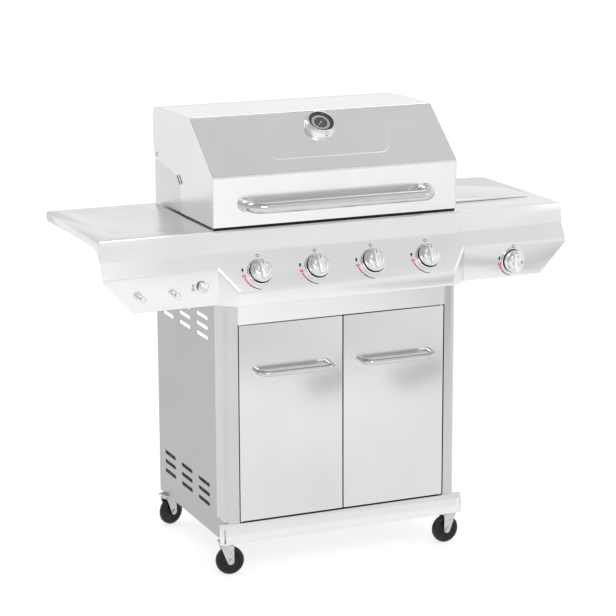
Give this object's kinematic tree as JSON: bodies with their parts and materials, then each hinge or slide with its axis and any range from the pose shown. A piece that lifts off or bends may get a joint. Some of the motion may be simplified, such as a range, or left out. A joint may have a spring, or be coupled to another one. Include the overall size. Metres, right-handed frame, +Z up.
{
  "type": "gas barbecue grill",
  "caption": "Freestanding gas grill: hinged hood over a burner box, two-door cabinet on casters, folding-metal side shelves, one with a lidded side burner.",
  "frame": {"origin": "on the floor, under the middle of the bounding box", "axes": "+Z up, the doors and knobs face -Y, +X points to the side burner"},
  "size_m": [1.32, 0.5766, 1.1971],
  "materials": {
    "stainless": "brushed stainless steel",
    "stainless_dark": "plain stainless sheet",
    "chrome": "polished",
    "zinc_plate": "bright zinc-plated steel",
    "cast_iron": "matt enamelled",
    "black_rubber": "black, smooth",
    "brass": "turned"
  },
  "bodies": {
    "frame": {"base_frame": "stainless", "front_post_left": "stainless", "front_post_right": "stainless", "side_panel_left": "stainless_dark", "side_panel_right": "stainless_dark", "back_panel": "stainless_dark", "front_fascia": "stainless", "firebox": "stainless_dark", "hinge_plate_left": "stainless_dark", "hinge_plate_right": "stainless_dark", "burner_1": "stainless_dark", "burner_2": "stainless_dark", "burner_3": "stainless_dark", "burner_4": "stainless_dark", "heat_tent_1": "stainless_dark", "heat_tent_2": "stainless_dark", "heat_tent_3": "stainless_dark", "heat_tent_4": "stainless_dark", "cooking_grate_left": "cast_iron", "cooking_grate_right": "cast_iron", "warming_rack": "chrome", "control_panel": "stainless", "gas_manifold": "brass", "bezel_burner_1": "chrome", "bezel_burner_2": "chrome", "bezel_burner_3": "chrome", "bezel_burner_4": "chrome", "bezel_side_burner": "chrome", "shelf_left": "stainless", "shelf_right": "stainless", "tool_peg_1": "chrome", "tool_peg_2": "chrome", "side_burner": "cast_iron", "pan_support": "cast_iron"},
    "hood": {"hood_shell": "stainless", "hood_end_left": "stainless_dark", "hood_end_right": "stainless_dark", "hood_handle": "chrome", "thermometer": "chrome"},
    "door_left": {"door_left": "stainless", "door_handle_left": "chrome"},
    "door_right": {"door_right": "stainless", "door_handle_right": "chrome"},
    "grease_tray": {"grease_tray": "stainless_dark", "grease_cup": "stainless_dark"},
    "side_burner_lid": {"side_burner_lid": "stainless"},
    "ignition_button": {"ignition_button": "chrome"},
    "knob_burner_1": {"knob_burner_1": "chrome"},
    "knob_burner_2": {"knob_burner_2": "chrome"},
    "knob_burner_3": {"knob_burner_3": "chrome"},
    "knob_burner_4": {"knob_burner_4": "chrome"},
    "knob_side_burner": {"knob_side_burner": "chrome"},
    "fork_front_left": {"caster_fork_front_left": "zinc_plate"},
    "wheel_front_left": {"wheel_front_left": "black_rubber"},
    "fork_front_right": {"caster_fork_front_right": "zinc_plate"},
    "wheel_front_right": {"wheel_front_right": "black_rubber"},
    "fork_rear_left": {"caster_fork_rear_left": "zinc_plate"},
    "wheel_rear_left": {"wheel_rear_left": "black_rubber"},
    "fork_rear_right": {"caster_fork_rear_right": "zinc_plate"},
    "wheel_rear_right": {"wheel_rear_right": "black_rubber"}
  },
  "joints": [
    {"name": "hood_hinge", "type": "hinge", "parent": "frame", "child": "hood", "pos_m": [0, 0.2323, 1.0613], "axis": [-1, 0, 0], "range_deg": [0, 95]},
    {"name": "door_left_hinge", "type": "hinge", "parent": "frame", "child": "door_left", "pos_m": [-0.2899, -0.2253, 0.147], "axis": [0, 0, -1], "range_deg": [0, 110]},
    {"name": "door_right_hinge", "type": "hinge", "parent": "frame", "child": "door_right", "pos_m": [0.2899, -0.2253, 0.147], "axis": [0, 0, 1], "range_deg": [0, 110]},
    {"name": "grease_tray_slide", "type": "slide", "parent": "frame", "child": "grease_tray", "axis": [0, 1, 0], "range_m": [0, 0.3]},
    {"name": "side_burner_lid_hinge", "type": "hinge", "parent": "frame", "child": "side_burner_lid", "pos_m": [0.507, 0.215, 0.926], "axis": [-1, 0, 0], "range_deg": [0, 90]},
    {"name": "knob_burner_1_turn", "type": "hinge", "parent": "frame", "child": "knob_burner_1", "pos_m": [-0.24, -0.24663, 0.81796], "axis": [0, -0.8523, 0.523], "range_deg": [0, 180]},
    {"name": "knob_burner_2_turn", "type": "hinge", "parent": "frame", "child": "knob_burner_2", "pos_m": [-0.08, -0.24663, 0.81796], "axis": [0, -0.8523, 0.523], "range_deg": [0, 180]},
    {"name": "knob_burner_3_turn", "type": "hinge", "parent": "frame", "child": "knob_burner_3", "pos_m": [0.08, -0.24663, 0.81796], "axis": [0, -0.8523, 0.523], "range_deg": [0, 180]},
    {"name": "knob_burner_4_turn", "type": "hinge", "parent": "frame", "child": "knob_burner_4", "pos_m": [0.24, -0.24663, 0.81796], "axis": [0, -0.8523, 0.523], "range_deg": [0, 180]},
    {"name": "knob_side_burner_turn", "type": "hinge", "parent": "frame", "child": "knob_side_burner", "pos_m": [0.4985, -0.2383, 0.78303], "axis": [0, -1, 0], "range_deg": [0, 180]},
    {"name": "ignition_press", "type": "slide", "parent": "frame", "child": "ignition_button", "axis": [0, 1, 0], "range_m": [0, 0.004], "stiffness_N_per_m": 400},
    {"name": "front_left_swivel", "type": "hinge", "parent": "frame", "child": "fork_front_left", "pos_m": [-0.327, -0.2055, 0.0902], "axis": [0, 0, 1], "continuous": true},
    {"name": "front_left_spin", "type": "hinge", "parent": "fork_front_left", "child": "wheel_front_left", "pos_m": [-0.31809, -0.20675, 0.038], "axis": [0.1392, 0.9903, 0], "continuous": true},
    {"name": "front_right_swivel", "type": "hinge", "parent": "frame", "child": "fork_front_right", "pos_m": [0.327, -0.2055, 0.0902], "axis": [0, 0, 1], "continuous": true},
    {"name": "front_right_spin", "type": "hinge", "parent": "fork_front_right", "child": "wheel_front_right", "pos_m": [0.31802, -0.20613, 0.038], "axis": [-0.0698, 0.9976, 0], "continuous": true},
    {"name": "rear_left_swivel", "type": "hinge", "parent": "frame", "child": "fork_rear_left", "pos_m": [-0.327, 0.2445, 0.0902], "axis": [0, 0, 1], "continuous": true},
    {"name": "rear_left_spin", "type": "hinge", "parent": "fork_rear_left", "child": "wheel_rear_left", "pos_m": [-0.31878, 0.24816, 0.038], "axis": [-0.4067, 0.9135, 0], "continuous": true},
    {"name": "rear_right_swivel", "type": "hinge", "parent": "frame", "child": "fork_rear_right", "pos_m": [0.327, 0.2445, 0.0902], "axis": [0, 0, 1], "continuous": true},
    {"name": "rear_right_spin", "type": "hinge", "parent": "fork_rear_right", "child": "wheel_rear_right", "pos_m": [0.31831, 0.24217, 0.038], "axis": [-0.2588, 0.9659, 0], "continuous": true}
  ]
}
